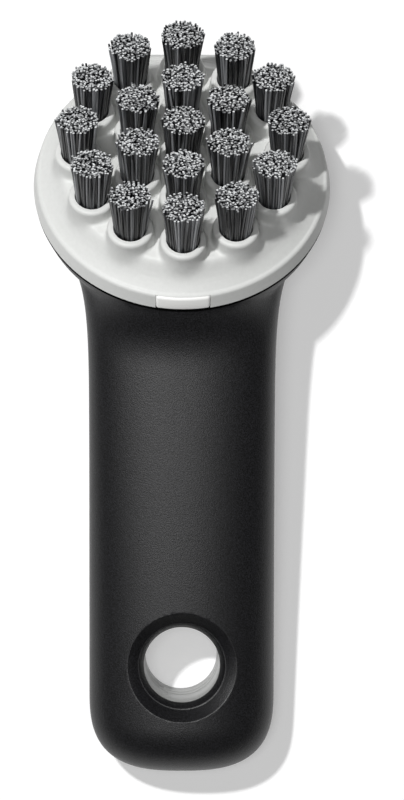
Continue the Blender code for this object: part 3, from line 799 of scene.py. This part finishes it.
def bristleTree(sideMaterial, tipMaterial):
    tree = bpy.data.node_groups.new("bristleTuft", "GeometryNodeTree")
    face = tree.interface
    face.new_socket(name="Geometry", in_out="OUTPUT", socket_type="NodeSocketGeometry")
    face.new_socket(name="Plug", in_out="INPUT", socket_type="NodeSocketGeometry")
    face.new_socket(name="Strand count", in_out="INPUT", socket_type="NodeSocketInt")
    measures = ("Root radius", "Spread", "Scatter", "Length", "Dome", "Length scatter")
    for name in measures + ("Strand radius", "Bend", "Shaft"):
        face.new_socket(name=name, in_out="INPUT", socket_type="NodeSocketFloat")
    face.new_socket(name="Seed", in_out="INPUT", socket_type="NodeSocketInt")
    given = addNode(tree, "NodeGroupInput").outputs

    def maths(operation, a, b=0.0):
        values = {i: v for i, v in ((0, a), (1, b)) if isinstance(v, (int, float))}
        links = {i: v for i, v in ((0, a), (1, b)) if not isinstance(v, (int, float))}
        return addNode(tree, "ShaderNodeMath", values, links, operation=operation).outputs[0]

    def vectorMaths(operation, values, links):
        return addNode(tree, "ShaderNodeVectorMath", values, links, operation=operation).outputs[0]

    def chance(low, high, offset):
        # Each offset is a row of draws of its own, of vectors or of single numbers.
        isVector = isinstance(low, tuple)
        limits = {"Min": low, "Max": high} if isVector else {2: low, 3: high}
        seed = {"Seed": maths("ADD", given["Seed"], offset)}
        kind = "FLOAT_VECTOR" if isVector else "FLOAT"
        draw = addNode(tree, "FunctionNodeRandomValue", limits, seed, data_type=kind)
        return draw.outputs[0 if isVector else 1]

    index = addNode(tree, "GeometryNodeInputIndex").outputs[0]
    turn = maths("MULTIPLY", index, bristles["turn"])
    share = maths("DIVIDE", maths("ADD", index, 0.5), given["Strand count"])
    radius = maths("MULTIPLY", maths("SQRT", share), given["Root radius"])
    spot = addNode(tree, "ShaderNodeCombineXYZ", links={
        "X": maths("MULTIPLY", maths("COSINE", turn), radius),
        "Y": maths("MULTIPLY", maths("SINE", turn), radius)}).outputs[0]
    stray = bristles["stray"]
    jitter = chance((-stray, -stray, 0.0), (stray, stray, 0.0), 1)
    jitter = vectorMaths("ADD", {}, {0: jitter, 1: spot})
    points = {"Count": given["Strand count"], "Position": jitter}
    points = addNode(tree, "GeometryNodePoints", links=points).outputs[0]

    line = addNode(tree, "GeometryNodeCurvePrimitiveLine", {"End": (0, 0, 1)}).outputs[0]
    line = addNode(tree, "GeometryNodeResampleCurve", {"Count": 5}, {"Curve": line}).outputs[0]
    place = addNode(tree, "GeometryNodeInputPosition").outputs[0]
    height = addNode(tree, "ShaderNodeSeparateXYZ", links={0: place}).outputs["Z"]
    bow = maths("MULTIPLY", maths("POWER", height, 2.0), given["Bend"])
    bow = addNode(tree, "ShaderNodeCombineXYZ", links={"X": bow}).outputs[0]
    bent = {"Geometry": line, "Offset": bow}
    line = addNode(tree, "GeometryNodeSetPosition", links=bent).outputs[0]
    swell = maths("MULTIPLY", maths("POWER", height, 8.0), maths("SUBTRACT", 1.0, given["Shaft"]))
    thick = {"Curve": line, "Radius": maths("ADD", swell, given["Shaft"])}
    line = addNode(tree, "GeometryNodeSetCurveRadius", links=thick).outputs[0]
    rim = {"Radius": given["Strand radius"]}
    rim = addNode(tree, "GeometryNodeCurvePrimitiveCircle", {"Resolution": 6}, rim).outputs[0]
    sweep = {"Curve": line, "Profile Curve": rim}
    strand = addNode(tree, "GeometryNodeCurveToMesh", {"Fill Caps": True}, sweep).outputs[0]
    flat = {"Shade Smooth": False}
    strand = addNode(tree, "GeometryNodeSetShadeSmooth", flat, {"Geometry": strand}).outputs[0]

    def painted(material, links):
        return addNode(tree, "GeometryNodeSetMaterial", {"Material": material}, links).outputs[0]

    strand = painted(sideMaterial, {"Geometry": strand})
    # The upward-facing cut ends take the paler material: painted light.
    normal = addNode(tree, "GeometryNodeInputNormal").outputs[0]
    facing = addNode(tree, "ShaderNodeSeparateXYZ", links={0: normal}).outputs["Z"]
    isTip = maths("GREATER_THAN", facing, 0.8)
    strand = painted(tipMaterial, {"Geometry": strand, "Selection": isTip})

    spread = maths("DIVIDE", given["Spread"], given["Root radius"])
    lean = vectorMaths("SCALE", {}, {0: place, "Scale": spread})
    wander = chance((-1.0, -1.0, 0.0), (1.0, 1.0, 0.0), 2)
    wander = vectorMaths("SCALE", {}, {0: wander, "Scale": given["Scatter"]})
    lean = vectorMaths("ADD", {}, {0: lean, 1: wander})
    lean = vectorMaths("ADD", {1: (0, 0, 1)}, {0: lean})
    align = "FunctionNodeAlignRotationToVector"
    aim = addNode(tree, align, links={"Vector": lean}, axis="Z").outputs[0]
    spin = {"Angle": chance(0.0, 6.2832, 3)}
    spin = addNode(tree, "FunctionNodeAxisAngleToRotation", {"Axis": (0, 0, 1)}, spin).outputs[0]
    both = {0: aim, 1: spin}
    aim = addNode(tree, "FunctionNodeRotateRotation", links=both, rotation_space="LOCAL").outputs[0]
    scatter = maths("MULTIPLY", chance(-1.0, 1.0, 4), given["Length scatter"])
    dome = maths("MULTIPLY", maths("SUBTRACT", 1.0, share), given["Dome"])
    reach = maths("ADD", maths("ADD", given["Length"], scatter), dome)
    scale = addNode(tree, "ShaderNodeCombineXYZ", {"X": 1, "Y": 1}, {"Z": reach}).outputs[0]
    strands = {"Points": points, "Instance": strand, "Rotation": aim, "Scale": scale}
    strands = addNode(tree, "GeometryNodeInstanceOnPoints", links=strands).outputs[0]
    tone = addNode(
        tree,
        "GeometryNodeStoreNamedAttribute",
        {"Name": "tone"},
        {"Geometry": strands, "Value": chance(0.0, 1.0, 5)},
        data_type="FLOAT",
        domain="INSTANCE",
    ).outputs[0]
    strands = addNode(tree, "GeometryNodeRealizeInstances", links={"Geometry": tone}).outputs[0]
    plug = painted(sideMaterial, {"Geometry": given["Plug"]})
    both = addNode(tree, "GeometryNodeJoinGeometry")
    tree.links.new(plug, both.inputs[0])
    tree.links.new(strands, both.inputs[0])
    addNode(tree, "NodeGroupOutput", links={0: both.outputs[0]})
    return tree


# Nylon 6 bristle, extruded and pigmented grey: dull sides with a faint sheen.
nylon, tree, shader = newMaterial("extruded grey nylon", roughness=0.36, ior=1.53)
tone = addNode(tree, "ShaderNodeAttribute", attribute_name="tone").outputs["Fac"]
ramp = addNode(tree, "ShaderNodeValToRGB", links={"Fac": tone})
ramp.color_ramp.elements[0].color = linearColour("#070708")
ramp.color_ramp.elements[1].color = linearColour("#96989b")
ramp.color_ramp.elements.new(0.55).color = linearColour("#2c2d30")
tree.links.new(ramp.outputs["Color"], shader.inputs["Base Color"])

# The same nylon on the cut ends, which are matt: their much paler colour is painted light, standing
# in for the light that the strands carry to their ends.
cutNylonPaintedLight, tree, shader = newMaterial("cut nylon ends, painted lighter", roughness=0.6, ior=1.53)
tone = addNode(tree, "ShaderNodeAttribute", attribute_name="tone").outputs["Fac"]
ramp = addNode(tree, "ShaderNodeValToRGB", links={"Fac": tone})
ramp.color_ramp.elements[0].color = linearColour("#545557")
ramp.color_ramp.elements[1].color = linearColour("#dee0e1")
tree.links.new(ramp.outputs["Color"], shader.inputs["Base Color"])

tuftTree = bristleTree(nylon, cutNylonPaintedLight)
items = tuftTree.interface.items_tree
sockets = {item.name: item.identifier for item in items if item.in_out == "INPUT"}
tuftPieces = []
plugFloor = socketFloor + clearance
face = socketMouth - bristles["rootDepth"]
for number, (label, x, y) in enumerate(socketSpots):
    tuft = cylinder(f"tuft_{label}", bore - clearance, face, plugFloor, atOrigin, 24)
    tuft.data.transform(Matrix.Translation((0, 0, -face)))
    modifier = tuft.modifiers.new("Bristles", "NODES")
    modifier.node_group = tuftTree
    inputs = {
        "Strand count": bristles["count"],
        "Root radius": bristles["rootRadius"],
        "Spread": bristles["spread"],
        "Scatter": bristles["scatter"],
        "Length": bristles["length"],
        "Dome": bristles["dome"],
        "Length scatter": bristles["lengthScatter"],
        "Strand radius": bristles["strandRadius"] * 1,
        "Bend": bristles["bend"],
        "Shaft": bristles["shaft"],
        "Seed": 20 + number,
    }
    for name, value in inputs.items():
        modifier[sockets[name]] = value
    applyModifiers(tuft)
    tuft.data.transform(Matrix.Rotation(bristles["tuftTurn"] * number, 4, "Z"))
    for vertex in tuft.data.vertices:
        share = max(vertex.co.z, 0) / bristles["length"]
        vertex.co.x *= 1 + bristles["fanAcross"] * share
        vertex.co.y *= 1 + bristles["fanAlong"] * share
    tuft.data.transform(headPlace @ Matrix.Translation((x, y, face)))
    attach(tuft, "root")
    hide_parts(f"tuft_{label}")
    tuftPieces.append(tuft)
print("tufts made with", sum(len(t.data.polygons) for t in tuftPieces), "faces")


# Materials of the mouldings

# Thermoplastic elastomer, moulded in a spark-eroded tool: soft black with a fine
# matt grain, drawn at a third of a millimetre so that it shows, and a broad highlight.
elastomer, tree, shader = newMaterial(
    "moulded black elastomer", roughness=0.43, ior=1.5, specular_ior_level=0.46
)
where = addNode(tree, "ShaderNodeTexCoord").outputs["Object"]
spark = {"Scale": 3000.0, "Detail": 2.0, "Roughness": 0.7}
grain = addNode(tree, "ShaderNodeTexNoise", spark, {"Vector": where}).outputs["Fac"]
ramp = addNode(tree, "ShaderNodeValToRGB", links={"Fac": grain})
ramp.color_ramp.elements[0].position = 0.38
ramp.color_ramp.elements[0].color = linearColour("#000000")
ramp.color_ramp.elements[1].position = 0.66
ramp.color_ramp.elements[1].color = linearColour("#1f1f22")
tree.links.new(ramp.outputs["Color"], shader.inputs["Base Color"])
bump = addNode(tree, "ShaderNodeBump", {"Strength": 0.6, "Distance": 0.0001}, {"Height": grain})
tree.links.new(bump.outputs["Normal"], shader.inputs["Normal"])

# The same elastomer on the lip in the seam, painted near black and dead matt: painted shade,
# standing in for the shadow under the rim, so the seam reads as a black line.
seamPaintedShade, tree, shader = newMaterial(
    "elastomer painted black as seam shade", roughness=0.95, ior=1.5, specular_ior_level=0.08
)
shader.inputs["Base Color"].default_value = linearColour("#030303")

# Polypropylene, moulded light grey: an even satin face with the faint mottle of a
# lightly etched tool.
propylene, tree, shader = newMaterial(
    "moulded grey polypropylene", roughness=0.5, ior=1.49, specular_ior_level=0.4
)
where = addNode(tree, "ShaderNodeTexCoord").outputs["Object"]
etch = {"Scale": 900.0, "Detail": 3.0, "Roughness": 0.55}
mottle = addNode(tree, "ShaderNodeTexNoise", etch, {"Vector": where}).outputs["Fac"]
ramp = addNode(tree, "ShaderNodeValToRGB", links={"Fac": mottle})
ramp.color_ramp.elements[0].color = linearColour("#cbccca")
ramp.color_ramp.elements[1].color = linearColour("#d5d6d4")
tree.links.new(ramp.outputs["Color"], shader.inputs["Base Color"])
bump = addNode(tree, "ShaderNodeBump", {"Strength": 0.08, "Distance": 0.00005}, {"Height": mottle})
tree.links.new(bump.outputs["Normal"], shader.inputs["Normal"])

# The same polypropylene off a smooth core pin: a satin liner, a darker grey than the
# plate, with a soft highlight and a faint mottle.
polished, tree, shader = newMaterial("polished grey polypropylene", roughness=0.3, ior=1.49)
where = addNode(tree, "ShaderNodeTexCoord").outputs["Object"]
etch = {"Scale": 700.0, "Detail": 2.0}
mottle = addNode(tree, "ShaderNodeTexNoise", etch, {"Vector": where}).outputs["Fac"]
ramp = addNode(tree, "ShaderNodeValToRGB", links={"Fac": mottle})
ramp.color_ramp.elements[0].color = linearColour("#979896")
ramp.color_ramp.elements[1].color = linearColour("#a4a5a3")
tree.links.new(ramp.outputs["Color"], shader.inputs["Base Color"])

# Acetal, moulded white and left polished: a crisp highlight on a clean white.
acetal, tree, shader = newMaterial("polished white acetal", roughness=0.25, ior=1.48)
shader.inputs["Base Color"].default_value = linearColour("#f2f2f0")

# Drawn brass wire: bright, with the fine lines of the die along it.
wire, tree, shader = newMaterial("drawn brass wire", roughness=0.32, metallic=1.0)
where = addNode(tree, "ShaderNodeTexCoord").outputs["Object"]
lines = addNode(tree, "ShaderNodeTexNoise", {"Scale": 3000.0}, {"Vector": where}).outputs["Fac"]
ramp = addNode(tree, "ShaderNodeValToRGB", links={"Fac": lines})
ramp.color_ramp.elements[0].color = linearColour("#c39a4c")
ramp.color_ramp.elements[1].color = linearColour("#d9b56a")
tree.links.new(ramp.outputs["Color"], shader.inputs["Base Color"])

dress(gripShape, "soft_black", elastomer, "grip")
gripShape.data.materials.append(seamPaintedShade)
toHead = headPlace.inverted()
aboveSeam = seam + 0.00002
lipReach = grip["lipRadius"] + 0.0001
# The lip's faces in the seam take the painted shade.
for polygon in gripShape.data.polygons:
    spot = toHead @ polygon.center
    if spot.z > aboveSeam and math.hypot(spot.x, spot.y) < lipReach:
        polygon.material_index = 1
dress(coreShape, "light_grey", polished, "handle_core")
dress(plateShape, "light_grey", propylene, "bristle_plate")
dress(tabShape, "white", acetal, "snap_tab")
for name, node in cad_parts.items():
    if name.startswith("anchor"):
        node.data.materials.clear()
        node.data.materials.append(wire)
print("materials set")


# Floor, light and camera

studio = {
    "world": 0.06,
    "floorHalf": 3,
    "floorLift": 0.35,  # glow that only the camera and reflections see
    "lamps": {  # place, side and power of each softbox, all aimed at the middle
        "key": ((-0.36, 0.355, 1.0), 0.05, 10.5),
        "overhead": ((-0.08, -0.06, 1.15), 0.3, 3.4),
    },
    "cameraPlace": (-0.015, -0.0008, 1.2),
    "cameraTurn": 0.0171,  # towards the brush, which lies a little to the right
    "focalPixels": 4584,
    "frameHeight": 800,  # pixels
    "sensor": 36,
}

shape = bmesh.new()
bmesh.ops.create_grid(shape, x_segments=1, y_segments=1, size=studio["floorHalf"])
mesh = bpy.data.meshes.new("floor")
shape.to_mesh(mesh)
shape.free()
floor = newPiece("floor", mesh)
paper = bpy.data.materials.new("white paper sweep")
paper.use_nodes = True
tree = paper.node_tree
tree.nodes.clear()
matt = addNode(tree, "ShaderNodeBsdfDiffuse", {"Color": linearColour("#d9d9d9")})
ray = addNode(tree, "ShaderNodeLightPath")
seen = {0: ray.outputs["Is Camera Ray"], 1: ray.outputs["Is Glossy Ray"]}
seen = addNode(tree, "ShaderNodeMath", links=seen, operation="MAXIMUM")
lift = {1: studio["floorLift"]}
seen = addNode(tree, "ShaderNodeMath", lift, {0: seen.outputs[0]}, operation="MULTIPLY")
glow = addNode(tree, "ShaderNodeEmission", {"Color": (1, 1, 1, 1)}, {"Strength": seen.outputs[0]})
both = addNode(tree, "ShaderNodeAddShader", links={0: matt.outputs[0], 1: glow.outputs[0]})
addNode(tree, "ShaderNodeOutputMaterial", links={"Surface": both.outputs[0]})
floor.data.materials.append(paper)

world = bpy.data.worlds.new("studio")
world.use_nodes = True
world.node_tree.nodes["Background"].inputs["Color"].default_value = (1, 1, 1, 1)
world.node_tree.nodes["Background"].inputs["Strength"].default_value = studio["world"]
scene.world = world

for name, (place, side, power) in studio["lamps"].items():
    lamp = bpy.data.lights.new(name, "AREA")
    lamp.energy = power
    lamp.size = side
    softbox = bpy.data.objects.new(name, lamp)
    softbox.location = place
    softbox.rotation_euler = (-Vector(place)).to_track_quat("-Z", "Y").to_euler()
    scene.collection.objects.link(softbox)

view = bpy.data.cameras.new("camera")
view.sensor_fit = "VERTICAL"
view.sensor_height = studio["sensor"]
view.lens = studio["sensor"] * studio["focalPixels"] / studio["frameHeight"]
view.clip_start = 0.05
camera = bpy.data.objects.new("camera", view)
camera.location = studio["cameraPlace"]
camera.rotation_euler = (0, -studio["cameraTurn"], 0)
scene.collection.objects.link(camera)
scene.camera = camera
scene.view_settings.view_transform = "Standard"
print("stage set")
